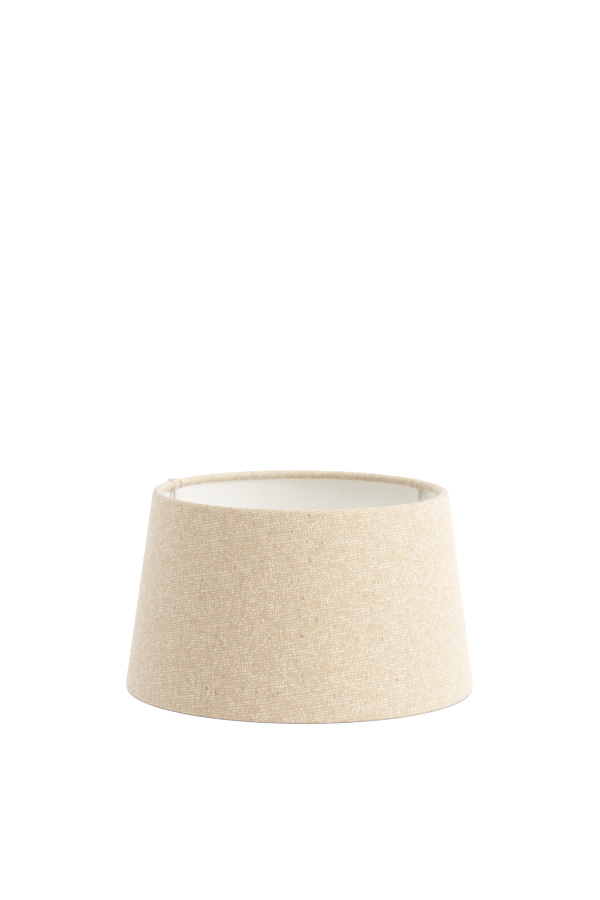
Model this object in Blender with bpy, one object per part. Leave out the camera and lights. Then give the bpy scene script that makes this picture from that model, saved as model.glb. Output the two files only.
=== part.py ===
"""Tapered drum lamp shade: linen cloth on a styrene lining, rolled over two wire rings, and
carried by a three-arm fitter with a lift-out reducer ring.

Metres, +Z up. The origin is the middle of the rim that the shade stands on. Angles go round
the shade from -Y, its front, towards +X.
"""
import math

import bmesh
import bpy
from mathutils import Vector

# Overall sizes, over the cloth. The shade stands on its wide end.
BOTTOM_DIAMETER = 0.2000
TOP_DIAMETER = 0.1695
HEIGHT = 0.1150

# Sheet and wire thicknesses.
CLOTH = 0.0006
LINING = 0.0004
TAPE = 0.0002
RING_WIRE = 0.0026
ARM_WIRE = 0.0024

# Clearances.
GAP = 0.0003
HEM_CLEARANCE = 0.0004
LAP_CLEARANCE = 0.0006

# The lap of the sheet: where its outer end lies, how wide the lap is, and how far past the
# lap the inner end takes to step out to the wall.
LAP_EDGE = math.radians(-126.0)
LAP_ANGLE = math.radians(9.0)
LAP_RAMP = math.radians(5.0)
LAP_CORNER = math.radians(1.5)
TAPE_MARGIN = 0.0010

# The fitter: a steel ring for a wide lamp holder, on three bent wires.
BACK_ARM_ANGLE = math.radians(119.0)
FITTER_DROP = 0.0580
FITTER_BORE = 0.0420
FITTER_DIAMETER = 0.0560
FITTER_SHEET = 0.0010
FITTER_LIP = 0.0060
FITTER_CORNER = 0.0010
ARM_BEND = 0.0080

# The reducer: a plastic ring that drops into the fitter for a narrow lamp holder.
REDUCER_BORE = 0.0290
REDUCER_FLANGE = 0.0500
REDUCER_FLANGE_THICKNESS = 0.0016
REDUCER_SPIGOT_DEPTH = 0.0052
REDUCER_EDGE = 0.0004

# Facets.
ROUND_STEPS = 60
TURNED_STEPS = 48
WIRE_SIDES = 8
BEND_STEPS = 6
HEM_STEP = math.radians(30.0)
SHARP_ANGLE = math.radians(40.0)

# The hem is the cloth rolled round a ring. Its loop also takes in the edge of the lining, so
# its middle lies further out than the ring's.
HEM_SHIFT = (LINING + GAP) / 2
HEM_MIDDLE = RING_WIRE / 2 + HEM_CLEARANCE + HEM_SHIFT + CLOTH / 2
HEM_OUTER = HEM_MIDDLE + CLOTH / 2
HEM_INNER = HEM_MIDDLE - CLOTH / 2
HEM_RISE = HEM_OUTER * math.cos(HEM_STEP / 2)
LOW_HEM_Z = HEM_RISE
HIGH_HEM_Z = HEIGHT - HEM_RISE
SLOPE = math.atan2((BOTTOM_DIAMETER - TOP_DIAMETER) / 2, HIGH_HEM_Z - LOW_HEM_Z)
LOW_HEM_R = BOTTOM_DIAMETER / 2 - HEM_OUTER * max(math.cos(SLOPE), math.cos(HEM_STEP / 2))
HIGH_HEM_R = TOP_DIAMETER / 2 - HEM_OUTER * math.cos(SLOPE)
TAIL_TURN = 2 * math.pi - math.acos((HEM_MIDDLE - CLOTH - LINING - 2 * GAP) / HEM_MIDDLE)

# Each ring is pulled towards the rolled edge and the inside of its hem.
RING_SHIFT = HEM_SHIFT / math.sqrt(2)
LOW_RING = (LOW_HEM_R - RING_SHIFT, LOW_HEM_Z - RING_SHIFT)
HIGH_RING = (HIGH_HEM_R - RING_SHIFT, HIGH_HEM_Z + RING_SHIFT)

FITTER_TOP = HEIGHT - FITTER_DROP
ARM_HEIGHT = FITTER_TOP - FITTER_LIP / 2
ARM_ANGLES = (0.0, BACK_ARM_ANGLE, -BACK_ARM_ANGLE)


def facet(angle):
    """How much nearer the axis a flat facet of the wall is than its corners, as a share."""
    pitch = 2 * math.pi / ROUND_STEPS
    return math.cos(pitch / 2) / math.cos(angle % pitch - pitch / 2)


def wall_radius(z, depth):
    """The radius of the wall at a height, at a depth below the outer face of the cloth."""
    outer_r = LOW_HEM_R + HEM_OUTER * math.cos(SLOPE)
    outer_z = LOW_HEM_Z + HEM_OUTER * math.sin(SLOPE)
    return outer_r - (z - outer_z) * math.tan(SLOPE) - depth / math.cos(SLOPE)


def around(r, z, angle):
    """A point of a section, turned round the shade's axis."""
    return Vector((r * math.sin(angle), -r * math.cos(angle), z))


def finish(name, colour, roughness, metallic=0.0):
    """A plain material for one sub-part."""
    material = bpy.data.materials.new(name)
    material.use_nodes = True
    shader = material.node_tree.nodes["Principled BSDF"]
    shader.inputs["Base Color"].default_value = (*colour, 1.0)
    shader.inputs["Roughness"].default_value = roughness
    shader.inputs["Metallic"].default_value = metallic
    material.diffuse_color = (*colour, 1.0)
    return material


def empty(name, z=0.0, parent=None):
    """An axis that pieces are parented to."""
    item = bpy.data.objects.new(name, None)
    item.location = (0.0, 0.0, z)
    item.parent = parent
    bpy.context.collection.objects.link(item)
    return item


def piece(name, points, faces, material, parent, origin_z=0.0):
    """A closed mesh object, with its origin on the axis at the parent's height."""
    mesh = bpy.data.meshes.new(name)
    below = Vector((0.0, 0.0, origin_z))
    mesh.from_pydata([point - below for point in points], [], faces)
    shell = bmesh.new()
    shell.from_mesh(mesh)
    bmesh.ops.recalc_face_normals(shell, faces=shell.faces)
    shell.to_mesh(mesh)
    shell.free()
    mesh.shade_smooth()
    mesh.set_sharp_from_angle(angle=SHARP_ANGLE)
    mesh.materials.append(material)
    item = bpy.data.objects.new(name, mesh)
    item.parent = parent
    bpy.context.collection.objects.link(item)
    return item


def join_rows(rows, closed):
    """Faces between neighbouring rows of points, with end caps when the run is open."""
    count = len(rows[0])
    pairs = len(rows) if closed else len(rows) - 1
    faces = []
    for row in range(pairs):
        here = row * count
        there = (row + 1) % len(rows) * count
        for i in range(count):
            j = (i + 1) % count
            faces.append((here + i, here + j, there + j, there + i))
    if not closed:
        faces.append(tuple(range(count)))
        faces.append(tuple(range(len(rows) * count - 1, (len(rows) - 1) * count - 1, -1)))
    return faces


def turned(name, section, steps, material, parent, origin_z=0.0):
    """A section turned all the way round the axis."""
    rows = []
    for step in range(steps):
        angle = 2 * math.pi * step / steps
        rows.append([around(r, z, angle) for r, z in section])
    points = [point for row in rows for point in row]
    return piece(name, points, join_rows(rows, True), material, parent, origin_z)


def circle(middle, radius, sides):
    """A round section, with flats at its top and bottom."""
    section = []
    for side in range(sides):
        angle = 2 * math.pi * (side + 0.5) / sides
        section.append((middle[0] + radius * math.cos(angle), middle[1] + radius * math.sin(angle)))
    return section


def hem_angles(direction):
    """Directions from a hem's middle: from the wall, over the rolled edge, to the cloth's end."""
    start = SLOPE
    end = SLOPE + direction * TAIL_TURN
    angles = [start]
    step = 0
    while True:
        angle = direction * (HEM_STEP * (step + 0.5))
        step += 1
        if direction * (end - angle) < HEM_STEP / 3:
            break
        if direction * (angle - start) > HEM_STEP / 3:
            angles.append(angle)
    angles.append(end)
    return angles


def hem_points(middle, radius, direction):
    """One side of the cloth round a hem."""
    return [
        (middle[0] + radius * math.cos(angle), middle[1] + radius * math.sin(angle))
        for angle in hem_angles(direction)
    ]


def cloth_section():
    """The cloth in section: a straight wall that rolls inward round a ring at each end."""
    high = (HIGH_HEM_R, HIGH_HEM_Z)
    low = (LOW_HEM_R, LOW_HEM_Z)
    outside = hem_points(high, HEM_OUTER, 1)[::-1] + hem_points(low, HEM_OUTER, -1)
    inside = hem_points(high, HEM_INNER, 1)[::-1] + hem_points(low, HEM_INNER, -1)
    return outside + inside[::-1]


def make_cover(material, parent):
    """The cloth, with a slit in its top hem where each arm leaves the ring."""
    cover = turned("linen_cover", cloth_section(), ROUND_STEPS, material, parent)
    cutter = bmesh.new()
    reach = HEM_OUTER + LAP_CLEARANCE
    for angle in ARM_ANGLES:
        slit = bmesh.ops.create_cone(
            cutter,
            cap_ends=True,
            segments=WIRE_SIDES * 2,
            radius1=ARM_WIRE / 2 + GAP,
            radius2=ARM_WIRE / 2 + GAP,
            depth=reach,
        )
        middle = around(HIGH_RING[0], HIGH_RING[1] - reach / 2, angle)
        bmesh.ops.translate(cutter, verts=slit["verts"], vec=middle)
    mesh = bpy.data.meshes.new("hem_slits")
    cutter.to_mesh(mesh)
    cutter.free()
    slits = bpy.data.objects.new("hem_slits", mesh)
    slits.hide_render = True
    slits.display_type = "WIRE"
    slits.parent = parent
    bpy.context.collection.objects.link(slits)
    cut = cover.modifiers.new("hem_slits", "BOOLEAN")
    cut.operation = "DIFFERENCE"
    cut.solver = "EXACT"
    cut.object = slits


def sheet_row(angle, depth, thickness, low, high):
    """One upright row of a thin sheet that follows the wall and its facets."""
    corners = (
        (low, depth),
        (high, depth),
        (high, depth + thickness),
        (low, depth + thickness),
    )
    return [around(wall_radius(z, d) * facet(angle), z, angle) for z, d in corners]


def make_lining(material, parent):
    """The lining: one strip that goes all the way round and ends outside its own start."""
    full = (LOW_HEM_Z + HEM_OUTER * math.sin(SLOPE), HIGH_HEM_Z)
    trimmed = (LOW_HEM_Z + HEM_OUTER + LAP_CLEARANCE, HIGH_HEM_Z - HEM_OUTER - LAP_CLEARANCE)
    depth = CLOTH + GAP
    step_in = LINING + 2 * GAP + TAPE
    ramp = LAP_EDGE + LAP_RAMP
    rows = []
    for share in (1.0, 0.5, 0.0):
        rows.append(sheet_row(LAP_EDGE - LAP_ANGLE * share, depth + step_in, LINING, *trimmed))
    rows.append(sheet_row(ramp - LAP_RAMP / 2, depth + step_in / 2, LINING, *trimmed))
    rows.append(sheet_row(ramp, depth, LINING, *trimmed))
    rows.append(sheet_row(ramp + LAP_CORNER, depth, LINING, *full))
    turn = 2 * math.pi
    pitch = turn / ROUND_STEPS
    step = math.ceil((ramp + LAP_CORNER) / pitch + 1 / 4)
    while step * pitch < LAP_EDGE + turn - pitch / 4:
        rows.append(sheet_row(step * pitch, depth, LINING, *full))
        step += 1
    rows.append(sheet_row(LAP_EDGE + turn, depth, LINING, *full))
    points = [point for row in rows for point in row]
    piece("styrene_lining", points, join_rows(rows, False), material, parent)


def make_tape(material, parent):
    """The double-sided tape that holds the lap."""
    low = LOW_HEM_Z + HEM_OUTER + LAP_CLEARANCE + TAPE_MARGIN
    high = HIGH_HEM_Z - HEM_OUTER - LAP_CLEARANCE - TAPE_MARGIN
    margin = TAPE_MARGIN / wall_radius(low, 0.0)
    depth = CLOTH + GAP + LINING + GAP
    rows = []
    for share in (1.0, 0.5, 0.0):
        angle = LAP_EDGE - margin - (LAP_ANGLE - 2 * margin) * share
        rows.append(sheet_row(angle, depth, TAPE, low, high))
    points = [point for row in rows for point in row]
    piece("seam_tape", points, join_rows(rows, False), material, parent)


def make_arm(name, angle, material, parent):
    """A wire from the underside of the top ring, down beside the wall, then in to the fitter."""
    upright_r = HIGH_RING[0]
    top_z = HIGH_RING[1] - RING_WIRE / 2 - GAP
    end_r = FITTER_DIAMETER / 2 + GAP
    path = [(upright_r, top_z, 0.0)]
    for step in range(BEND_STEPS + 1):
        turn = math.pi / 2 * step / BEND_STEPS
        r = upright_r - ARM_BEND + ARM_BEND * math.cos(turn)
        z = ARM_HEIGHT + ARM_BEND - ARM_BEND * math.sin(turn)
        path.append((r, z, turn))
    path.append((end_r, ARM_HEIGHT, math.pi / 2))
    sideways = Vector((math.cos(angle), math.sin(angle), 0.0))
    rows = []
    for r, z, turn in path:
        centre = around(r, z, angle)
        outward = around(math.cos(turn), -math.sin(turn), angle)
        row = []
        for side in range(WIRE_SIDES):
            part = 2 * math.pi * (side + 0.5) / WIRE_SIDES
            across = outward * math.cos(part) + sideways * math.sin(part)
            row.append(centre + across * (ARM_WIRE / 2))
        rows.append(row)
    points = [point for row in rows for point in row]
    piece(name, points, join_rows(rows, False), material, parent)


def make_fitter(material, parent):
    """The pressed steel ring: a flat seat with its outer edge turned down."""
    bore = FITTER_BORE / 2
    outer = FITTER_DIAMETER / 2
    lip = outer - FITTER_SHEET
    corner = FITTER_SHEET + FITTER_CORNER
    foot = FITTER_TOP - FITTER_LIP
    section = [(bore, FITTER_TOP), (bore, FITTER_TOP - FITTER_SHEET)]
    for turn in (0.0, math.pi / 4, math.pi / 2):
        r = lip - FITTER_CORNER + FITTER_CORNER * math.sin(turn)
        z = FITTER_TOP - corner + FITTER_CORNER * math.cos(turn)
        section.append((r, z))
    section.append((lip, foot))
    section.append((outer, foot))
    for turn in (math.pi / 2, math.pi / 4, 0.0):
        r = outer - corner + corner * math.sin(turn)
        z = FITTER_TOP - corner + corner * math.cos(turn)
        section.append((r, z))
    turned("fitter_ring", section, TURNED_STEPS, material, parent)


def make_reducer(material, parent, seat_z):
    """The plastic ring: a flange over the fitter's seat and a spigot down through its bore."""
    bore = REDUCER_BORE / 2
    flange = REDUCER_FLANGE / 2
    spigot = FITTER_BORE / 2 - GAP
    low = FITTER_TOP + GAP
    high = low + REDUCER_FLANGE_THICKNESS
    foot = low - REDUCER_SPIGOT_DEPTH
    section = [
        (bore, high),
        (bore, foot),
        (spigot - REDUCER_EDGE, foot),
        (spigot, foot + REDUCER_EDGE),
        (spigot, low),
        (flange, low),
        (flange, high - REDUCER_EDGE),
        (flange - REDUCER_EDGE, high),
    ]
    turned("reducer_ring", section, TURNED_STEPS, material, parent, seat_z)


def main():
    for item in list(bpy.data.objects):
        bpy.data.objects.remove(item, do_unlink=True)

    linen = finish("natural_linen", (0.72, 0.61, 0.46), 0.9)
    styrene = finish("white_styrene", (0.86, 0.84, 0.79), 0.5)
    adhesive = finish("clear_tape", (0.80, 0.78, 0.70), 0.4)
    wire = finish("white_wire", (0.83, 0.82, 0.80), 0.4, 0.1)
    pressed = finish("white_pressed_steel", (0.85, 0.84, 0.82), 0.35, 0.1)
    plastic = finish("white_plastic", (0.88, 0.88, 0.86), 0.45)

    shade = empty("lamp_shade")
    make_cover(linen, shade)
    make_lining(styrene, shade)
    make_tape(adhesive, shade)
    turned("top_ring", circle(HIGH_RING, RING_WIRE / 2, WIRE_SIDES), ROUND_STEPS, wire, shade)
    turned("bottom_ring", circle(LOW_RING, RING_WIRE / 2, WIRE_SIDES), ROUND_STEPS, wire, shade)
    for number, angle in enumerate(ARM_ANGLES, start=1):
        make_arm(f"fitter_arm_{number}", angle, wire, shade)
    make_fitter(pressed, shade)

    seat = empty("reducer_seat", FITTER_TOP, shade)
    make_reducer(plastic, seat, FITTER_TOP)


main()
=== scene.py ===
"""A tapered drum lamp shade in natural linen, standing on its wide rim.

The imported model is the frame: every place comes from its nodes, in metres, with +Z up and -Y
at the front. Angles go round the shade from the front towards +X, seen from above.
"""
import math

import bpy
import numpy as np
from mathutils import Matrix, Vector


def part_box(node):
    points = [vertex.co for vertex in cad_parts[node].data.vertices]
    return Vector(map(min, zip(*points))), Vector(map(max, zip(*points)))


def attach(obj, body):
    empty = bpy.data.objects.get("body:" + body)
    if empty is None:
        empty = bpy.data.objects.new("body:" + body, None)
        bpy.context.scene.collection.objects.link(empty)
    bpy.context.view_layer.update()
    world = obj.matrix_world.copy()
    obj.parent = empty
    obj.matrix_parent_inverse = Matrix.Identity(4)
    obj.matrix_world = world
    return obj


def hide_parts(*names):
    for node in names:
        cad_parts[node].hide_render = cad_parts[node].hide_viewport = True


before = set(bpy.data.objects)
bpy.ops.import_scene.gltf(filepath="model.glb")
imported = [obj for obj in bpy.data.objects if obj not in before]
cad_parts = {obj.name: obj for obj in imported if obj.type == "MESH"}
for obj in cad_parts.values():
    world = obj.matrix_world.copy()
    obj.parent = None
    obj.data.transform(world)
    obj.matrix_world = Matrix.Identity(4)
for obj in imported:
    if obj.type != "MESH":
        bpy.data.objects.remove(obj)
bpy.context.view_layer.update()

# ---- Camera -----------------------------------------------------------------------------
# A long portrait lens a little above the rim, so that the far inside wall just shows. It
# leans a hair, and stands a few degrees round from the front arm.
EYE_AZIMUTH = math.radians(-2.85)
EYE_DISTANCE = 1.6003
EYE_HEIGHT = 0.3385
EYE_ASIDE = -0.00062
EYE_PITCH = math.radians(7.160)
EYE_ROLL = math.radians(0.394)
EYE_LENS = 112.92
EYE_NEAREST = 0.05
EYE_FURTHEST = 20.0

eye = bpy.data.cameras.new("studio_camera")
eye.lens = EYE_LENS
eye.clip_start = EYE_NEAREST
eye.clip_end = EYE_FURTHEST
eye_stand = bpy.data.objects.new("studio_camera", eye)
eye_place = Vector((EYE_ASIDE, -EYE_DISTANCE, EYE_HEIGHT))
eye_turn = Matrix.Rotation(EYE_AZIMUTH, 4, "Z")
eye_tilt = Matrix.Rotation(math.pi / 2 - EYE_PITCH, 4, "X")
eye_lean = Matrix.Rotation(EYE_ROLL, 4, "Z")
eye_stand.matrix_world = eye_turn @ Matrix.Translation(eye_place) @ eye_tilt @ eye_lean
bpy.context.scene.collection.objects.link(eye_stand)
bpy.context.scene.camera = eye_stand


# ---- Studio -----------------------------------------------------------------------------
# A white table in a white room. The main soft light stands at the front right, with a low strip
# under it, and weaker lights fill in from the left, the top and the back. A film-like curve
# holds back the brightest tones.
LIGHT_AIM = Vector((0.0, 0.0, 0.06))


def soft_light(name, place, width, height, power):
    """A large rectangular light that faces the shade."""
    lamp = bpy.data.lights.new(name, "AREA")
    lamp.shape = "RECTANGLE"
    lamp.size = width
    lamp.size_y = height
    lamp.energy = power
    stand = bpy.data.objects.new(name, lamp)
    stand.location = place
    aim = LIGHT_AIM - Vector(place)
    stand.rotation_euler = aim.to_track_quat("-Z", "Y").to_euler()
    bpy.context.scene.collection.objects.link(stand)


def node(tree, kind, sockets, **settings):
    """A node, with each of its sockets set to a value or joined to another node's output."""
    item = tree.nodes.new(kind)
    for key, value in settings.items():
        setattr(item, key, value)
    for key, value in sockets.items():
        if isinstance(value, bpy.types.NodeSocket):
            tree.links.new(value, item.inputs[key])
        else:
            item.inputs[key].default_value = value
    return item


def maths(tree, operation, first, second=0.0, third=0.0):
    """The result of one sum."""
    sockets = {0: first, 1: second, 2: third}
    return node(tree, "ShaderNodeMath", sockets, operation=operation).outputs[0]


def ramp(tree, value, low, high, start=0.0, end=1.0):
    """A number that goes from start to end while the value goes from low to high."""
    sockets = {0: value, 1: low, 2: high, 3: start, 4: end}
    return node(tree, "ShaderNodeMapRange", sockets, interpolation_type="SMOOTHSTEP").outputs[0]


def new_finish(name):
    """A new node material, with its nodes and its shader."""
    material = bpy.data.materials.new(name)
    material.use_nodes = True
    return material, material.node_tree, material.node_tree.nodes["Principled BSDF"]


def set_look(shader, **values):
    """Numbers and colours that are the same all over a surface, on the shader's own sockets."""
    for key, value in values.items():
        shader.inputs[key.replace("_", " ")].default_value = value


def mesh_piece(name, points, faces, material):
    """A smooth mesh object made of points and faces."""
    mesh = bpy.data.meshes.new(name)
    mesh.from_pydata(np.asarray(points).tolist(), [], [tuple(face) for face in faces])
    mesh.shade_smooth()
    mesh.materials.append(material)
    item = bpy.data.objects.new(name, mesh)
    bpy.context.scene.collection.objects.link(item)
    return item


soft_light("key_light", (1.52, -0.52, 0.75), 1.5, 1.1, 31.0)
soft_light("low_light", (1.52, -0.52, 0.05), 1.5, 0.10, 8.0)
soft_light("left_fill", (-1.25, 0.95, 0.60), 0.8, 1.0, 12.0)
soft_light("top_light", (0.00, -0.30, 1.60), 1.0, 1.0, 25.0)
soft_light("rim_light", (0.75, 0.85, 1.10), 0.8, 0.8, 7.5)

# The room lights the shade weakly, and looks brighter than that where it is seen directly.
ROOM_GLOW = 0.32
SEEN_GLOW = 1.5
PURE_WHITE = (1.0, 1.0, 1.0, 1.0)

room = bpy.data.worlds.new("white_room")
room.use_nodes = True
room_nodes = room.node_tree
room_light = room_nodes.nodes["Background"]
room_light.inputs["Color"].default_value = PURE_WHITE
seen_directly = node(room_nodes, "ShaderNodeLightPath", {}).outputs["Is Camera Ray"]
room_glow = maths(room_nodes, "MULTIPLY_ADD", seen_directly, SEEN_GLOW, ROOM_GLOW)
room_nodes.links.new(room_glow, room_light.inputs["Strength"])
bpy.context.scene.world = room

WHITE_LEVEL = 1.4
FILM_TONES = [(0.3, 0.3), (0.6, 0.597), (0.75, 0.712), (0.9, 0.80), (1.06, 0.865), (1.21, 0.915)]

view = bpy.context.scene.view_settings
view.view_transform = "Standard"
view.use_curve_mapping = True
tones = view.curve_mapping
tones.white_level = (WHITE_LEVEL, WHITE_LEVEL, WHITE_LEVEL)
tone_curve = tones.curves[3]
tone_curve.points[0].location = (0.0, 0.0)
tone_curve.points[1].location = (1.0, 1.0)
for light_in, light_out in FILM_TONES:
    tone_curve.points.new(light_in / WHITE_LEVEL, light_out)
tones.update()

# The table glows by itself, evenly in the open. Inside the shade its glow is lower, which is
# painted shade, and it is lowest in the ring under the foot of the shade, which is a painted
# contact shadow. The ring's two edges are soft, and each has an inner and an outer radius.
TABLE_REACH = 6.0
TABLE_GREY = (0.3, 0.3, 0.3, 1.0)
TABLE_GLOW = 1.42
INSIDE_PAINTED_SHADE_GLOW = 1.08
FOOT_PAINTED_SHADOW_GLOW = 0.24
SHADOW_RING_INNER_EDGE = (0.092, 0.096)
SHADOW_RING_OUTER_EDGE = (0.0985, 0.1006)

table_paint_with_painted_shadow, tree, shader = new_finish("white_table_painted_shadow")
place = node(tree, "ShaderNodeTexCoord", {}).outputs["Object"]
from_middle = node(tree, "ShaderNodeVectorMath", {0: place}, operation="LENGTH").outputs["Value"]
# Painted shade inside the shade, then a painted contact shadow in the ring under its foot.
painted_shade_to_shadow_ring = ramp(tree, from_middle, *SHADOW_RING_INNER_EDGE, INSIDE_PAINTED_SHADE_GLOW, FOOT_PAINTED_SHADOW_GLOW)
shadow_ring_to_open = ramp(tree, from_middle, *SHADOW_RING_OUTER_EDGE, 0.0, TABLE_GLOW - FOOT_PAINTED_SHADOW_GLOW)
table_glow_with_painted_shadow = maths(tree, "ADD", painted_shade_to_shadow_ring, shadow_ring_to_open)
tree.links.new(table_glow_with_painted_shadow, shader.inputs["Emission Strength"])
set_look(
    shader,
    Base_Color=TABLE_GREY,
    Roughness=0.9,
    Specular_IOR_Level=0.0,
    Emission_Color=PURE_WHITE,
)
table_corners = [
    (-TABLE_REACH, -TABLE_REACH, 0.0),
    (TABLE_REACH, -TABLE_REACH, 0.0),
    (TABLE_REACH, TABLE_REACH, 0.0),
    (-TABLE_REACH, TABLE_REACH, 0.0),
]
table = mesh_piece("white_table_painted_shadow", table_corners, [(0, 1, 2, 3)], table_paint_with_painted_shadow)


# ---- Linen cover ------------------------------------------------------------------------
# One sheet of plain-woven natural linen, glued round the lining. Both long edges roll inward
# over the wire rings as hems, and the outer end of the sheet is turned under at the lap.
def node_corners(name):
    """The lowest and highest corners of a node of the frame."""
    low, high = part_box(name)
    return Vector(low), Vector(high)


def ring_section(name):
    """The radius and height of a ring's wire, and half its thickness."""
    low, high = node_corners(name)
    half_wire = (high.z - low.z) / 2
    return high.x - half_wire, (high.z + low.z) / 2, half_wire


def eased(value):
    """A share from 0 to 1 with a smooth start and end."""
    value = np.clip(value, 0.0, 1.0)
    return value * value * (3.0 - 2.0 * value)


def around(r, z, angle):
    """Points at a radius and height, turned round the shade's axis."""
    return np.stack(np.broadcast_arrays(r * np.sin(angle), -r * np.cos(angle), z), axis=-1)


DICE_COUNT = 4096


def smooth_noise(values, step, seed):
    """Smooth random numbers from -1 to 1 along a line, with a new value each step."""
    dice = np.random.default_rng(seed).uniform(-1.0, 1.0, DICE_COUNT)
    place = values / step
    whole = np.floor(place).astype(int)
    share = eased(place - whole)
    first, second = dice[whole % DICE_COUNT], dice[(whole + 1) % DICE_COUNT]
    return first * (1.0 - share) + second * share


def blend(tree, share, first, second):
    """A number between two others."""
    sockets = {0: share, 2: first, 3: second}
    return node(tree, "ShaderNodeMix", sockets, data_type="FLOAT").outputs[0]


def tint(tree, share, first, second):
    """A colour between two others."""
    sockets = {0: share, 6: first, 7: second}
    return node(tree, "ShaderNodeMix", sockets, data_type="RGBA").outputs[2]


def noise(tree, place, scale, detail=2.0, roughness=0.5):
    """Smooth cloudy numbers about a half."""
    sockets = {"Vector": place, "Scale": scale, "Detail": detail, "Roughness": roughness}
    return node(tree, "ShaderNodeTexNoise", sockets).outputs["Fac"]


def vector(tree, x, y, z=0.0):
    """A place made of three numbers."""
    return node(tree, "ShaderNodeCombineXYZ", {0: x, 1: y, 2: z}).outputs[0]


def scaled(tree, value, factor):
    """A value times a factor."""
    return maths(tree, "MULTIPLY", value, factor)


def relief(tree, shader, height, strength, distance):
    """Fine relief on a surface, from a pattern of heights."""
    sockets = {"Height": height, "Strength": strength, "Distance": distance}
    bump = node(tree, "ShaderNodeBump", sockets)
    tree.links.new(bump.outputs[0], shader.inputs["Normal"])


def waves(values, sizes):
    """Several smooth random waves added up, each with its height, its step and its seed."""
    return sum(height * smooth_noise(values, step, seed) for height, step, seed in sizes)


# The section of the cloth comes from the frame: a hem round each ring, with a straight wall
# between them. The hem's middle lies a little off the ring's, because the hem also takes in the
# edge of the lining.
HEM_RADIUS = 0.00265
HEM_OFFSET = 0.0002475
HEM_TURN = math.radians(300.0)
LAP_EDGE = math.radians(-126.0)
LAP_ANGLE = math.radians(9.0)
LAP_RAMP = math.radians(5.0)

ring_r, ring_z, _ = ring_section("top_ring")
top_hem = (ring_r + HEM_OFFSET, ring_z - HEM_OFFSET)
ring_r, ring_z, _ = ring_section("bottom_ring")
low_hem = (ring_r + HEM_OFFSET, ring_z + HEM_OFFSET)
slope = math.atan2(low_hem[0] - top_hem[0], top_hem[1] - low_hem[1])
wall_length = math.hypot(low_hem[0] - top_hem[0], top_hem[1] - low_hem[1])
wall_top_r = top_hem[0] + HEM_RADIUS * math.cos(slope)
wall_top_z = top_hem[1] + HEM_RADIUS * math.sin(slope)
hem_length = HEM_RADIUS * HEM_TURN
sheet_length = wall_length + 2 * hem_length

arm_names = sorted(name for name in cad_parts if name.startswith("fitter_arm"))
arm_angles = []
for name in arm_names:
    low, high = node_corners(name)
    middle = (low + high) / 2
    arm_angles.append(math.atan2(middle.x, -middle.y))


def section(s):
    """Radius, height and facing of the cloth at a distance s from its hidden upper edge."""
    on_top = s < hem_length
    on_bottom = s > hem_length + wall_length
    turn = slope + np.where(on_top, hem_length - s, 0.0) / HEM_RADIUS
    turn = turn - np.where(on_bottom, s - hem_length - wall_length, 0.0) / HEM_RADIUS
    down = np.clip(s - hem_length, 0.0, wall_length)
    middle_r = top_hem[0] + down * math.sin(slope)
    middle_z = top_hem[1] - down * math.cos(slope)
    r = middle_r + HEM_RADIUS * np.cos(turn)
    z = middle_z + HEM_RADIUS * np.sin(turn)
    return r, z, turn


# The cloth is cut on the straight grain from a flat arc, so its threads stand upright only
# opposite the lap, and lean more and more towards the lap on both sides. Its outer end is folded
# under.
WARP_PITCH = 0.00128
WEFT_PITCH = 0.00149
FOLD_RADIUS = 0.00035
FOLD_LENGTH = 0.0022
END_MARGIN = math.radians(1.0)
cut_centre = LAP_EDGE - LAP_ANGLE / 2 + math.pi
cut_start = LAP_EDGE - END_MARGIN
cut_end = LAP_EDGE + 2 * math.pi
fold_end = cut_end + FOLD_LENGTH / wall_top_r
wall_top_slant = wall_top_r / math.sin(slope)


def worn_place(x, y):
    """The angle round the shade and the distance down the cloth of a point of the flat cut."""
    slant = np.hypot(x, y)
    spread = np.arctan2(x, -y)
    return cut_centre + spread / math.sin(slope), slant - wall_top_slant + hem_length


# Yarn by yarn: a crown at each crossing and a dip between yarns. A slub is a short thick
# stretch of one yarn.
WEFT_RISE = 0.00010
WARP_RISE = 0.00004
DIP_DEPTH = 0.00010
SLUB_RISE = 0.00010
SLUB_COUNT = 420
SLUB_REACH = (2.0, 9.0)
SLUB_WEIGHT = (0.4, 1.0)
SLUB_LIMIT = 1.2
WEFT_SLUB_SHARE = 0.6

slant_high = wall_top_slant + wall_length + hem_length
slant_low = wall_top_slant - hem_length
half_width = slant_high * math.sin((fold_end - cut_centre) * math.sin(slope))
column_reach = math.ceil(half_width / WARP_PITCH) + 1
columns = np.arange(-column_reach, column_reach + 1)
first_row = math.floor(-slant_high / WEFT_PITCH) - 1
last_row = math.ceil(-slant_low * math.cos(half_width / slant_high) / WEFT_PITCH) + 1
rows = np.arange(first_row, last_row + 1)
warp, weft = np.meshgrid(columns, rows, indexing="ij")

slub = np.zeros(warp.shape)
chance = np.random.default_rng(11)
for number in range(SLUB_COUNT):
    column = chance.integers(0, len(columns))
    row = chance.integers(0, len(rows))
    reach = chance.uniform(*SLUB_REACH)
    weight = chance.uniform(*SLUB_WEIGHT)
    if chance.random() < WEFT_SLUB_SHARE:
        slub[:, row] += weight * np.exp(-(((np.arange(len(columns)) - column) / reach) ** 2))
    else:
        slub[column, :] += weight * np.exp(-(((np.arange(len(rows)) - row) / reach) ** 2))
slub = np.clip(slub, 0.0, SLUB_LIMIT)

# The yarns wander from their even spacing, each by itself and all together, and thicken and
# thin along their length. A shift of a few metres for each yarn keeps its numbers apart from
# its neighbour's.
YARN_WANDER = 0.21
WANDER_STEP = 0.011
BODY_STEP = 0.007
BODY_SHARE = 0.6
WARP_SWAY = [(0.0005, 0.05, 12)]
WEFT_SWAY = [(0.0009, 0.06, 13)]
DIP_SLUB_SHARE = 0.4
FUZZ = 0.00002

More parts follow.
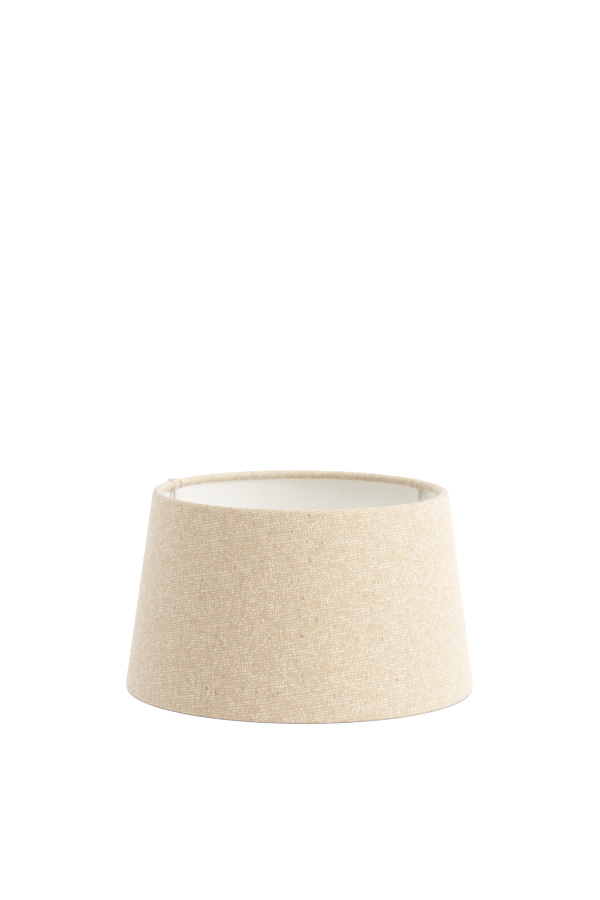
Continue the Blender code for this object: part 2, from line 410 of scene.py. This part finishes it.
even_x = warp * WARP_PITCH
even_y = weft * WEFT_PITCH
warp_drift = smooth_noise(even_y + 3.17 * warp, WANDER_STEP, 5) + smooth_noise(warp * 1.0, 1.0, 6)
weft_drift = smooth_noise(even_x + 3.71 * weft, WANDER_STEP, 7) + smooth_noise(weft * 1.0, 1.0, 8)
crown_x = even_x + YARN_WANDER * WARP_PITCH * warp_drift + waves(even_y, WARP_SWAY)
crown_y = even_y + YARN_WANDER * WEFT_PITCH * weft_drift + waves(even_x, WEFT_SWAY)


def between(grid):
    """The middle of each four neighbours of a grid, with the last row and column repeated."""
    wide = np.pad(grid, ((0, 1), (0, 1)), mode="edge")
    return (wide[:-1, :-1] + wide[1:, :-1] + wide[:-1, 1:] + wide[1:, 1:]) / 4


warp_body = smooth_noise(even_y + 7.31 * warp, BODY_STEP, 3)
weft_body = smooth_noise(even_x + 5.17 * weft, BODY_STEP, 4)
weft_over = (warp + weft) % 2
body = np.where(weft_over == 1, weft_body, warp_body)
crown_lift = np.where(weft_over == 1, WEFT_RISE, WARP_RISE) * (1.0 + BODY_SHARE * body)
crown_lift += SLUB_RISE * slub + chance.normal(0.0, FUZZ, slub.shape)
dip_lift = DIP_SLUB_SHARE * SLUB_RISE * slub - DIP_DEPTH + chance.normal(0.0, FUZZ, slub.shape)

# Each crossing is a point, with a dip in the middle of each four, and four triangles meet there.
points_x = np.concatenate([crown_x.ravel(), between(crown_x).ravel()])
points_y = np.concatenate([crown_y.ravel(), between(crown_y).ravel()])
weave_x = np.concatenate([even_x.ravel(), (even_x + WARP_PITCH / 2).ravel()])
weave_y = np.concatenate([even_y.ravel(), (even_y + WEFT_PITCH / 2).ravel()])
lift = np.concatenate([crown_lift.ravel(), dip_lift.ravel()])
crowns = np.arange(warp.size).reshape(warp.shape)
dips = crowns + warp.size
corners = (dips[:-1, :-1], dips[1:, :-1], dips[1:, 1:], dips[:-1, 1:])
triangles = []
for side in range(4):
    one = corners[side].ravel()
    two = corners[(side + 1) % 4].ravel()
    triangles.append(np.stack([one, two, crowns[1:, 1:].ravel()], axis=1))
triangles = np.concatenate(triangles)

# What lies outside the cut is left out, and the points just outside its edge move onto it.
angle, s = worn_place(points_x, points_y)
inside = (angle > cut_start) & (angle < fold_end) & (s > 0.0) & (s < sheet_length)
triangles = triangles[inside[triangles].any(axis=1)]
used, triangles = np.unique(triangles, return_inverse=True)
triangles = triangles.reshape(-1, 3)
angle = np.clip(angle[used], cut_start, fold_end)
s = np.clip(s[used], 0.0, sheet_length)
lift = lift[used]
weave_x = weave_x[used]
weave_y = weave_y[used]


# Pleats of the top hem where it is pinched round the arms: place, height, how wide each is
# ahead and behind, how far it leans on its way over the hem, and where on the hem it begins.
# Angles are in degrees.
LEFT_ARM = -119.0
FRONT_ARM = 0.0
RIGHT_ARM = 119.0
PLEATS = [
    (LEFT_ARM + 4.2, 0.00145, 0.4, 6.0, 0.0, 15.0),
    (LEFT_ARM - 0.6, -0.00090, 0.8, 0.9, 6.5, 15.0),
    (LEFT_ARM - 4.0, 0.00060, 1.2, 0.6, 3.0, 15.0),
    (RIGHT_ARM + 3.9, 0.00055, 0.7, 1.4, -0.8, 105.0),
    (RIGHT_ARM + 2.2, -0.00080, 0.7, 0.6, -0.5, 95.0),
    (RIGHT_ARM + 0.6, 0.00070, 0.8, 0.6, 0.3, 105.0),
    (RIGHT_ARM - 0.5, -0.00030, 0.4, 0.3, 0.0, 105.0),
    (RIGHT_ARM - 1.7, 0.00070, 0.6, 1.2, 0.3, 105.0),
    (RIGHT_ARM - 3.8, -0.00050, 0.9, 0.7, 0.8, 105.0),
    (FRONT_ARM + 2.2, 0.00060, 1.0, 0.6, 0.9, 95.0),
    (FRONT_ARM - 0.2, -0.00050, 0.6, 0.6, 0.6, 95.0),
    (FRONT_ARM - 1.8, 0.00080, 0.6, 1.5, -0.6, 95.0),
]
PLEAT_EASE = 50.0
LEAN_STARTS = 120.0
LEAN_SPAN = 90.0
ROLL_STARTS = 120.0
ROLL_EASE = 50.0
HEM_ENDS = 300.0
END_EASE = 60.0
HEM_SOFTNESS = [(0.00009, 0.05, 21), (0.00006, 0.016, 22)]
HEM_PUCKER = [(0.00016, 0.028, 23), (0.00008, 0.012, 24)]


def hem_swell(angle, s, turn):
    """How far the hems stand proud of a true circle: soft all round, pleated at each arm."""
    on_top = s < hem_length
    on_hem = on_top | (s > hem_length + wall_length)
    rolled_in = eased((np.degrees(turn) - ROLL_STARTS) / ROLL_EASE)
    pucker = waves(angle, HEM_PUCKER) * rolled_in
    swell = np.where(on_hem, waves(angle, HEM_SOFTNESS), 0.0) + np.where(on_top, pucker, 0.0)
    end = eased((HEM_ENDS - np.degrees(turn)) / END_EASE)
    over = (np.degrees(turn) - LEAN_STARTS) / LEAN_SPAN
    for place, height, ahead, behind, lean, start in PLEATS:
        fade = end * eased((np.degrees(turn) - start) / PLEAT_EASE)
        apart = (np.degrees(angle) - place + lean * over + 180.0) % 360.0 - 180.0
        ridge = np.exp(-((apart / np.where(apart > 0.0, ahead, behind)) ** 2))
        swell = swell + np.where(on_top, height * fade * ridge, 0.0)
    return swell


HEM_LAP_DIP = 0.00032
WALL_LAP_DIP = 0.00080


def lap_dip(angle, s):
    """How far the inner end of the sheet lies below the outer end that covers it."""
    past = (angle - LAP_EDGE) / LAP_RAMP
    on_hem = (s < hem_length) | (s > hem_length + wall_length)
    return np.where(on_hem, HEM_LAP_DIP, WALL_LAP_DIP) * (1.0 - eased(past))


# Near the lap, the rolled part of the top hem is pulled round by up to the hem pull. The inner
# end of the sheet is pulled over a longer stretch than the outer one.
HEM_PULL = math.radians(4.0)
PULL_REACH = math.radians(12.0)
INNER_END_STRETCH = 1.3
PULL_STARTS = 40.0
PULL_EASE = 60.0


def pulled_round(angle, s, turn):
    """How far the two ends of the top hem are pulled round towards the arm beside the lap."""
    from_lap = np.abs(angle - cut_start) / INNER_END_STRETCH
    from_lap = np.minimum(from_lap, np.abs(angle - cut_end))
    near = 1.0 - eased(from_lap / PULL_REACH)
    over = eased((np.degrees(turn) - PULL_STARTS) / PULL_EASE)
    return np.where(s < hem_length, HEM_PULL * near * over, 0.0)


HEM_TIGHTNESS = 0.4
SLIVER_AREA = 1e-9


def wear(angle, s, lift):
    """Points of the cloth in place on the shade."""
    r, z, turn = section(s)
    over = np.clip((angle - cut_end) * r, 0.0, None)
    bend = np.minimum(over / FOLD_RADIUS, math.pi)
    forward = FOLD_RADIUS * np.sin(bend) - np.clip(over - math.pi * FOLD_RADIUS, 0.0, None)
    sunk = FOLD_RADIUS * (1.0 - np.cos(bend))
    worn_angle = np.minimum(angle, cut_end) + forward / r + pulled_round(angle, s, turn)
    on_hem = (s < hem_length) | (s > hem_length + wall_length)
    tight = np.where(on_hem, HEM_TIGHTNESS, 1.0)
    proud = lift * tight * np.cos(bend) + hem_swell(angle, s, turn) - lap_dip(angle, s) - sunk
    height = np.maximum(z + proud * np.sin(turn), 0.0)
    return around(r + proud * np.cos(turn), height, worn_angle)


cloth_points = wear(angle, s, lift)
first, second, third = (cloth_points[triangles[:, corner]] for corner in range(3))
areas = np.linalg.norm(np.cross(second - first, third - first), axis=1) / 2
triangles = triangles[areas > SLIVER_AREA]

# The finish follows the flat cut, so every yarn keeps its own number all along.
linen, tree, shader = new_finish("natural_linen")
cut = node(tree, "ShaderNodeUVMap", {}, uv_map="flat_cut").outputs[0]
cut_place = node(tree, "ShaderNodeSeparateXYZ", {0: cut})
flat_x, flat_y = cut_place.outputs[0], cut_place.outputs[1]
warp_place = maths(tree, "DIVIDE", flat_x, WARP_PITCH)
weft_place = maths(tree, "DIVIDE", flat_y, WEFT_PITCH)
warp_number = maths(tree, "ROUND", warp_place)
weft_number = maths(tree, "ROUND", weft_place)
off_warp = maths(tree, "SUBTRACT", warp_place, warp_number)
off_weft = maths(tree, "SUBTRACT", weft_place, weft_number)
both = maths(tree, "ADD", warp_number, weft_number)
weft_on_top = maths(tree, "FLOORED_MODULO", both, 2.0)
cross = blend(tree, weft_on_top, off_warp, off_weft)
along = blend(tree, weft_on_top, off_weft, off_warp)

# The yarn is round across, and dives under its neighbour at both ends of a crown. The warp is
# stretched tighter, so its crowns are a little lower.
ACROSS_TURN = 2.7
ALONG_TURN = 2.3
WARP_CROWN = 0.8
round_share = maths(tree, "COSINE", scaled(tree, cross, ACROSS_TURN))
dive_share = maths(tree, "COSINE", scaled(tree, along, ALONG_TURN))
crown = scaled(tree, round_share, dive_share)
crown = scaled(tree, crown, blend(tree, weft_on_top, WARP_CROWN, 1.0))


def along_yarns(warp_step, weft_step, changes, warp_layer, weft_layer):
    """A place that jumps from yarn to yarn, and moves on along each so many times a metre."""
    on_warp = scaled(tree, warp_number, warp_step), scaled(tree, flat_y, changes)
    on_weft = scaled(tree, flat_x, changes), scaled(tree, weft_number, weft_step)
    warp_seed = vector(tree, *on_warp, warp_layer)
    weft_seed = vector(tree, *on_weft, weft_layer)
    sockets = {0: weft_on_top, 4: warp_seed, 5: weft_seed}
    return node(tree, "ShaderNodeMix", sockets, data_type="VECTOR").outputs[1]


# Each yarn has its own tone, which drifts along it, and flecks of bark and tan fibre.
TONE_CHANGES = 160.0
FLECK_CHANGES = 420.0
yarn_tone = noise(tree, along_yarns(3.71, 4.37, TONE_CHANGES, 0.0, 9.0), 1.0, 2.0, 0.6)
fleck_noise = noise(tree, along_yarns(5.13, 6.01, FLECK_CHANGES, 3.0, 5.0), 1.0, 1.0, 0.5)
drift = noise(tree, cut, 55.0, 3.0, 0.6)
patch = noise(tree, cut, 170.0, 2.0, 0.6)
hue = noise(tree, cut, 230.0, 2.0, 0.6)

# Undyed yarn runs from cream to straw, with tan and bark-coloured fibres spun in. The dark gap
# colour is painted shade in the dips between the yarns.
CREAM = (0.665, 0.548, 0.432, 1.0)
GREEN_STRAW = (0.515, 0.414, 0.306, 1.0)
ROSY_STRAW = (0.542, 0.408, 0.298, 1.0)
PAINTED_GAP_SHADE = (0.31, 0.255, 0.19, 1.0)
ROSY_TAN = (0.47, 0.330, 0.225, 1.0)
GREEN_TAN = (0.44, 0.355, 0.235, 1.0)
BARK = (0.36, 0.235, 0.135, 1.0)
SPECK = (0.19, 0.135, 0.085, 1.0)
# The pale pulled colour is partly painted light on the hems.
PULLED_AND_LIT_PALE = (0.80, 0.71, 0.575, 1.0)
pale = ramp(tree, maths(tree, "ADD", yarn_tone, scaled(tree, patch, 0.6)), 0.60, 1.0)
rosy = ramp(tree, hue, 0.42, 0.58)
straw = tint(tree, rosy, GREEN_STRAW, ROSY_STRAW)
tan = tint(tree, rosy, GREEN_TAN, ROSY_TAN)
yarn_colour = tint(tree, pale, straw, CREAM)
# Away from each crown the yarn darkens into painted shade between the yarns, a little more on the
# lower warp crowns.
woven = tint(tree, ramp(tree, crown, 0.02, 0.75), PAINTED_GAP_SHADE, yarn_colour)
run = maths(tree, "ADD", fleck_noise, scaled(tree, drift, 0.3))
tanned = scaled(tree, ramp(tree, run, 0.60, 0.80), 0.9)
flecked = tint(tree, tanned, woven, tan)
bark_colour = tint(tree, ramp(tree, run, 0.41, 0.34), BARK, SPECK)
bark = scaled(tree, ramp(tree, run, 0.52, 0.41), 0.72)
specked = tint(tree, bark, flecked, bark_colour)

# Where the cloth is pulled over a wire it is paler and smoother: the smoother weave is real, and
# the paleness is partly the stretched yarn and partly painted light on the hems. Its glued end
# carries a pale strip, which is a painted highlight along the folded edge.
PULLED_AND_LIT_SHARE = 0.22
PULLED_RELIEF = 0.45
END_HIGHLIGHT_SHARE = 0.60
pull = node(tree, "ShaderNodeUVMap", {}, uv_map="hem_pull_and_light").outputs[0]
pull_place = node(tree, "ShaderNodeSeparateXYZ", {0: pull})
pulled_and_lit, end_highlight = pull_place.outputs[0], pull_place.outputs[1]
paler_and_painted_light = maths(tree, "MAXIMUM", scaled(tree, pulled_and_lit, PULLED_AND_LIT_SHARE), scaled(tree, end_highlight, END_HIGHLIGHT_SHARE))
linen_colour = tint(tree, paler_and_painted_light, specked, PULLED_AND_LIT_PALE)
tree.links.new(linen_colour, shader.inputs["Base Color"])
fibre = noise(tree, cut, 9000.0, 2.0, 0.6)
yarn_relief = maths(tree, "ADD", crown, scaled(tree, fibre, 0.25))
yarn_relief = scaled(tree, yarn_relief, blend(tree, pulled_and_lit, 1.0, PULLED_RELIEF))
relief(tree, shader, yarn_relief, 0.6, 0.00016)
set_look(
    shader,
    Roughness=0.92,
    Specular_IOR_Level=0.12,
    Sheen_Weight=0.48,
    Sheen_Roughness=0.42,
    Sheen_Tint=PURE_WHITE,
)

cover = mesh_piece("linen_cover_sheet", cloth_points, triangles, linen)
mesh = cover.data
corner_point = np.empty(len(mesh.loops), np.int32)
mesh.loops.foreach_get("vertex_index", corner_point)
on_cut = np.stack([weave_x, weave_y], axis=1)[corner_point]
mesh.uv_layers.new(name="flat_cut").uv.foreach_set("vector", on_cut.ravel())

# The pull map says how far the cloth is rolled in over a wire, which sets the hems' partly painted
# light, and where its end is glued down along the hem, which sets the painted highlight strip.
# Angles are in degrees.
SMOOTH_STARTS = 55.0
SMOOTH_EASE = 60.0
END_HIGHLIGHT_WIDTH = 0.9
rolled_in = eased((np.degrees(np.abs(section(s)[2] - slope)) - SMOOTH_STARTS) / SMOOTH_EASE)
to_end = np.degrees(angle - cut_end) + END_HIGHLIGHT_WIDTH
end_highlight_mask = np.exp(-((to_end / END_HIGHLIGHT_WIDTH) ** 4))
glued_end_highlight = np.where(s < hem_length, rolled_in * end_highlight_mask, 0.0)
on_pull = np.stack([rolled_in, glued_end_highlight], axis=1)[corner_point]
mesh.uv_layers.new(name="hem_pull_and_light").uv.foreach_set("vector", on_pull.ravel())

# A last map lays the sheet out as two half strips, one above the other.
MAP_MARGIN = 0.01
MAP_WIDTH = 0.98
STRIP_HEIGHT = 0.48
STRIP_RISE = 0.5
round_twice = (angle[corner_point] - cut_start) / (fold_end - cut_start) * 2.0
strip = np.repeat(np.floor(round_twice.reshape(-1, 3).mean(axis=1)), 3)
baked_x = MAP_MARGIN + MAP_WIDTH * (round_twice - strip)
baked_y = MAP_MARGIN + STRIP_HEIGHT * s[corner_point] / sheet_length + STRIP_RISE * strip
baked = np.stack([baked_x, baked_y], axis=1)
mesh.uv_layers.new(name="OFBake").uv.foreach_set("vector", baked.ravel())

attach(cover, "shade")
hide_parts("linen_cover")


# ---- Lining -----------------------------------------------------------------------------
# One strip of white satin styrene, 0.4 mm thick. The cloth is glued to it before it is rolled
# up, and inside, its raw end shows beside the lap.
CLOTH_DEPTH = 0.0009
LINING = 0.0004
LAP_STEP = 0.0012
TRIM_MARGIN = 0.00015
TRIM_CORNER = math.radians(1.5)
LINING_ROWS = 13
LAP_STEPS = 7
RAMP_STEPS = 9
ROUND_STEPS = 240
RIPPLE = [(0.00005, 0.11, 31)]
SHARP_ANGLE = math.radians(40.0)


def wall_radius(z, depth):
    """The radius of the wall at a height, at a depth below the outer face of the cloth."""
    return wall_top_r + (wall_top_z - z) * math.tan(slope) - depth / math.cos(slope)


lining_low, lining_high = node_corners("styrene_lining")
trim_low = low_hem[1] + HEM_RADIUS + TRIM_MARGIN
trim_high = top_hem[1] - HEM_RADIUS - TRIM_MARGIN
lap_start = LAP_EDGE - LAP_ANGLE
ramp_end = LAP_EDGE + LAP_RAMP
lining_angles = np.concatenate(
    [
        np.linspace(lap_start, LAP_EDGE, LAP_STEPS)[:-1],
        np.linspace(LAP_EDGE, ramp_end, RAMP_STEPS),
        np.linspace(ramp_end, LAP_EDGE + 2 * math.pi, ROUND_STEPS)[1:],
    ]
)
heights = np.linspace(0.0, 1.0, LINING_ROWS)
turn_count = len(lining_angles)
trim = 1.0 - eased((lining_angles - ramp_end) / TRIM_CORNER)
strip_low = lining_low.z + (trim_low - lining_low.z) * trim
strip_high = lining_high.z + (trim_high - lining_high.z) * trim
strip_z = strip_low[:, None] + (strip_high - strip_low)[:, None] * heights[None, :]
strip_depth = CLOTH_DEPTH + LAP_STEP * (1.0 - eased((lining_angles - LAP_EDGE) / LAP_RAMP))
ripple = np.abs(waves(lining_angles, RIPPLE))[:, None] * np.sin(math.pi * heights)[None, :]
outer_r = wall_radius(strip_z, strip_depth[:, None]) - ripple
inner_r = wall_radius(strip_z, strip_depth[:, None] + LINING) - ripple
outer_face = around(outer_r, strip_z, lining_angles[:, None])
inner_face = around(inner_r, strip_z, lining_angles[:, None])
lining_points = np.concatenate([outer_face.reshape(-1, 3), inner_face.reshape(-1, 3)])


def strip_faces(across, up):
    """Faces of a closed strip with an outer and an inner grid of points."""
    outer = np.arange(across * up).reshape(across, up)
    inner = outer + across * up
    faces = []

    def patchwork(grid):
        for i in range(grid.shape[0] - 1):
            for j in range(grid.shape[1] - 1):
                faces.append((grid[i, j], grid[i + 1, j], grid[i + 1, j + 1], grid[i, j + 1]))

    patchwork(outer)
    patchwork(inner[:, ::-1])
    patchwork(np.stack([inner[:, 0], outer[:, 0]], axis=1))
    patchwork(np.stack([outer[:, -1], inner[:, -1]], axis=1))
    patchwork(np.stack([inner[0], outer[0]]))
    patchwork(np.stack([outer[-1], inner[-1]]))
    return faces


STYRENE_DULL = (0.815, 0.788, 0.725, 1.0)
STYRENE_CLEAN = (0.845, 0.823, 0.765, 1.0)
styrene, tree, shader = new_finish("white_styrene")
place = node(tree, "ShaderNodeTexCoord", {}).outputs["Object"]
haze = ramp(tree, noise(tree, place, 28.0, 3.0), 0.35, 0.65)
tree.links.new(tint(tree, haze, STYRENE_DULL, STYRENE_CLEAN), shader.inputs["Base Color"])
satin = noise(tree, place, 900.0, 3.0, 0.6)
tree.links.new(ramp(tree, satin, 0.3, 0.7, 0.42, 0.55), shader.inputs["Roughness"])
relief(tree, shader, satin, 0.25, 0.00003)
set_look(shader, Specular_IOR_Level=0.35)

lining_faces = strip_faces(turn_count, LINING_ROWS)
lining = mesh_piece("styrene_lining_strip", lining_points, lining_faces, styrene)
lining.data.set_sharp_from_angle(angle=SHARP_ANGLE)
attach(lining, "shade")
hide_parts("styrene_lining")


# ---- Seam tape --------------------------------------------------------------------------
# A strip of clear double-sided tape between the two ends of the lap. Only its thin edge can
# be seen, deep in the seam.
TAPE_YELLOWED = (0.74, 0.71, 0.62, 1.0)
TAPE_CLEAR = (0.84, 0.82, 0.74, 1.0)
adhesive, tree, shader = new_finish("clear_tape")
place = node(tree, "ShaderNodeTexCoord", {}).outputs["Object"]
smear = noise(tree, place, 400.0, 3.0)
tree.links.new(tint(tree, smear, TAPE_YELLOWED, TAPE_CLEAR), shader.inputs["Base Color"])
tree.links.new(ramp(tree, smear, 0.3, 0.7, 0.25, 0.45), shader.inputs["Roughness"])
seam_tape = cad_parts["seam_tape"]
seam_tape.data.materials.clear()
seam_tape.data.materials.append(adhesive)


# ---- Wire rings -------------------------------------------------------------------------
# Steel wire bent into two rings, butt-welded and powder-coated white, each hidden in its hem.
def turned_faces(steps, sides):
    """Faces of a closed section turned all the way round."""
    faces = []
    for i in range(steps):
        j = (i + 1) % steps
        for k in range(sides):
            m = (k + 1) % sides
            faces.append((i * sides + k, j * sides + k, j * sides + m, i * sides + m))
    return faces


def turned_piece(name, radii, heights, steps, material):
    """A closed section turned round the axis."""
    angles = np.linspace(0.0, 2 * math.pi, steps, endpoint=False)
    points = around(np.asarray(radii)[None, :], np.asarray(heights)[None, :], angles[:, None])
    return mesh_piece(name, points.reshape(-1, 3), turned_faces(steps, len(radii)), material)


# Powder coat has a fine orange-peel skin, and is rubbed greyer in places.
def powder_coat(name, clean, rubbed, rub_scale, rub_starts, dullness, peel_scale, peel_depth):
    """A white powder-coated finish."""
    material, tree, shader = new_finish(name)
    place = node(tree, "ShaderNodeTexCoord", {}).outputs["Object"]
    peel = noise(tree, place, peel_scale, 2.0, 0.5)
    worn = noise(tree, place, rub_scale, 4.0, 0.6)
    tone = tint(tree, ramp(tree, worn, rub_starts, 0.72), clean, rubbed)
    tree.links.new(tone, shader.inputs["Base Color"])
    tree.links.new(ramp(tree, worn, 0.3, 0.7, *dullness), shader.inputs["Roughness"])
    relief(tree, shader, peel, 0.3, peel_depth)
    set_look(shader, Specular_IOR_Level=0.5)
    return material


WIRE_CLEAN = (0.69, 0.68, 0.64, 1.0)
WIRE_RUBBED = (0.60, 0.59, 0.555, 1.0)
RING_SIDES = 20
RING_STEPS = 180
coat = powder_coat(
    "white_wire", WIRE_CLEAN, WIRE_RUBBED, 220.0, 0.62, (0.26, 0.42), 1400.0, 0.00004
)

for name in ("top_ring", "bottom_ring"):
    ring_r, ring_z, half_wire = ring_section(name)
    wire_turns = 2 * math.pi * np.arange(RING_SIDES) / RING_SIDES
    ring = turned_piece(
        name + "_wire",
        ring_r + half_wire * np.cos(wire_turns),
        ring_z - half_wire * np.sin(wire_turns),
        RING_STEPS,
        coat,
    )
    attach(ring, "shade")
    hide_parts(name)


# ---- Fitter arms ------------------------------------------------------------------------
# Three lengths of slightly thinner wire with the same coat. Each is spot-welded under the top
# ring, drops beside the wall, turns in, and is spot-welded to the fitter's rim.
ARM_HALF_WIRE = 0.0012
ARM_BEND = 0.008
ARM_SIDES = 18
CAD_WIRE_SIDES = 8
UPRIGHT_STEPS = 39
BEND_STEPS = 17
LEVEL_STEPS = 33
WELD_RISE = 0.0005
WELD_REACH = 0.0001
BEAD_SWELL = 0.3
BEAD_LENGTH = 0.0013

fitter_low, fitter_high = node_corners("fitter_ring")
ring_r, ring_z, _ = ring_section("top_ring")
for name, arm in zip(arm_names, arm_angles):
    low, high = node_corners(name)
    arm_z = low.z + ARM_HALF_WIRE * math.cos(math.pi / CAD_WIRE_SIDES)
    top_z = high.z + WELD_RISE
    end_r = fitter_high.x - WELD_REACH
    bend_r = ring_r - ARM_BEND
    bend_z = arm_z + ARM_BEND
    upright_z = np.linspace(top_z, bend_z, UPRIGHT_STEPS + 1)[:-1]
    upright_r = np.full(UPRIGHT_STEPS, ring_r)
    bend = np.linspace(0.0, math.pi / 2, BEND_STEPS)
    level_r = np.linspace(bend_r, end_r, LEVEL_STEPS + 1)[1:]
    level_z = np.full(LEVEL_STEPS, arm_z)
    path_r = np.concatenate([upright_r, ring_r - ARM_BEND * (1 - np.cos(bend)), level_r])
    path_z = np.concatenate([upright_z, arm_z + ARM_BEND * (1 - np.sin(bend)), level_z])
    path_turn = np.concatenate(
        [np.zeros(UPRIGHT_STEPS), bend, np.full(LEVEL_STEPS, math.pi / 2)]
    )
    run = np.concatenate([[0.0], np.cumsum(np.hypot(np.diff(path_r), np.diff(path_z)))])
    ends = np.minimum(run, run[-1] - run)
    thick = ARM_HALF_WIRE * (1.0 + BEAD_SWELL * np.exp(-((ends / BEAD_LENGTH) ** 2)))
    sides = 2 * math.pi * (np.arange(ARM_SIDES) + 0.5) / ARM_SIDES
    outward = np.cos(sides)[None, :] * thick[:, None]
    sideways = np.sin(sides)[None, :] * thick[:, None]
    r = path_r[:, None] + outward * np.cos(path_turn)[:, None]
    z = path_z[:, None] - outward * np.sin(path_turn)[:, None]
    points = np.stack(
        [
            r * math.sin(arm) + sideways * math.cos(arm),
            -r * math.cos(arm) + sideways * math.sin(arm),
            z,
        ],
        axis=-1,
    ).reshape(-1, 3)
    faces = []
    for i in range(len(run) - 1):
        for k in range(ARM_SIDES):
            m = (k + 1) % ARM_SIDES
            here = i * ARM_SIDES
            faces.append((here + k, here + m, here + ARM_SIDES + m, here + ARM_SIDES + k))
    faces.append(tuple(range(ARM_SIDES))[::-1])
    faces.append(tuple(range((len(run) - 1) * ARM_SIDES, len(run) * ARM_SIDES)))
    wire = mesh_piece(name + "_wire", points, faces, coat)
    wire.data.set_sharp_from_angle(angle=SHARP_ANGLE)
    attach(wire, "shade")
    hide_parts(name)


# ---- Fitter ring ------------------------------------------------------------------------
# A pressed steel washer with its rim turned down, welded to the arms. Its powder coat is
# lighter than the wire's.
def rounded_section(corners, radii, steps=5):
    """A closed section with each corner rounded."""
    out_r, out_z = [], []
    count = len(corners)
    for i in range(count):
        here = Vector(corners[i])
        before = (Vector(corners[i - 1]) - here).normalized()
        after = (Vector(corners[(i + 1) % count]) - here).normalized()
        if radii[i] <= 0.0:
            out_r.append(here.x)
            out_z.append(here.y)
            continue
        half = before.angle(after) / 2
        reach = radii[i] / math.tan(half)
        middle = here + (before + after).normalized() * (radii[i] / math.sin(half))
        first = here + before * reach - middle
        last = here + after * reach - middle
        for step in range(steps + 1):
            share = step / steps
            spoke = (first * (1 - share) + last * share).normalized() * radii[i]
            out_r.append(middle.x + spoke.x)
            out_z.append(middle.y + spoke.y)
    return out_r, out_z


SHEET = 0.001
FITTER_BORE_RADIUS = 0.021
FITTER_ROUNDS = [0.0003, 0.0002, 0.0008, 0.0002, 0.0002, 0.0018]
TURNED_STEPS = 144
STEEL_CLEAN = (0.84, 0.835, 0.82, 1.0)
STEEL_RUBBED = (0.72, 0.71, 0.69, 1.0)

rim = fitter_high.x
fitter_corners = [
    (FITTER_BORE_RADIUS, fitter_high.z),
    (FITTER_BORE_RADIUS, fitter_high.z - SHEET),
    (rim - SHEET, fitter_high.z - SHEET),
    (rim - SHEET, fitter_low.z),
    (rim, fitter_low.z),
    (rim, fitter_high.z),
]
radii, heights = rounded_section(fitter_corners, FITTER_ROUNDS)
pressed = powder_coat(
    "white_pressed_steel", STEEL_CLEAN, STEEL_RUBBED, 160.0, 0.60, (0.24, 0.40), 1100.0, 0.00005
)
fitter = turned_piece(
    "fitter_ring_pressed", radii[::-1], heights[::-1], TURNED_STEPS, pressed
)
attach(fitter, "shade")
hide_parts("fitter_ring")


# ---- Reducer ring -----------------------------------------------------------------------
# A loose moulded ring that drops into the fitter for a small lamp holder, with a flange that
# rests on the fitter's seat.
REDUCER_BORE_RADIUS = 0.0145
SPIGOT_GAP = 0.0003
FLANGE_THICKNESS = 0.0016
REDUCER_ROUNDS = [0.0004, 0.0003, 0.0005, 0.0, 0.0003, 0.0005]
PLASTIC_DULL = (0.84, 0.84, 0.82, 1.0)
PLASTIC_CLEAN = (0.88, 0.88, 0.865, 1.0)

reducer_low, reducer_high = node_corners("reducer_ring")
plastic, tree, shader = new_finish("white_plastic")
place = node(tree, "ShaderNodeTexCoord", {}).outputs["Object"]
flow = noise(tree, place, 60.0, 3.0)
tree.links.new(tint(tree, flow, PLASTIC_DULL, PLASTIC_CLEAN), shader.inputs["Base Color"])
tree.links.new(ramp(tree, flow, 0.3, 0.7, 0.40, 0.50), shader.inputs["Roughness"])
spark = noise(tree, place, 3000.0, 2.0, 0.5)
relief(tree, shader, spark, 0.25, 0.00003)
flange = reducer_high.x
flange_low = reducer_high.z - FLANGE_THICKNESS
spigot = FITTER_BORE_RADIUS - SPIGOT_GAP
reducer_corners = [
    (REDUCER_BORE_RADIUS, reducer_high.z),
    (REDUCER_BORE_RADIUS, reducer_low.z),
    (spigot, reducer_low.z),
    (spigot, flange_low),
    (flange, flange_low),
    (flange, reducer_high.z),
]
radii, heights = rounded_section(reducer_corners, REDUCER_ROUNDS)
reducer = turned_piece(
    "reducer_ring_moulded", radii[::-1], heights[::-1], TURNED_STEPS, plastic
)
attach(reducer, "reducer")
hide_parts("reducer_ring")
